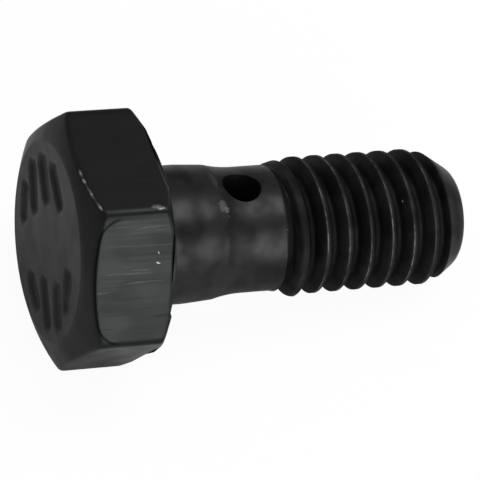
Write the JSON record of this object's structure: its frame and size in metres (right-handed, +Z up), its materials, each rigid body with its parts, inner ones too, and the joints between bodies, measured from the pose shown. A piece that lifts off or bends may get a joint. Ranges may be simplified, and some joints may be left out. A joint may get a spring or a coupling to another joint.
{
  "type": "banjo bolt",
  "caption": "Hollow hexagon-head bolt with a drilled core, a cross hole through its waist and a threaded tail, for a ring fitting.",
  "frame": {"origin": "on the ground under the middle of the part, as it lies at rest", "axes": "+X towards the threaded tail, +Z up. The bolt's own axis runs 8.9 degrees below +X, because the bolt lies on one flat of its head and on the last full crest of its thread."},
  "size_m": [0.019, 0.0114, 0.0104],
  "materials": {
    "steel": "black oxide, thinly oiled, worn at the edges"
  },
  "bodies": {
    "root": {"banjo_bolt": "steel"}
  },
  "joints": []
}
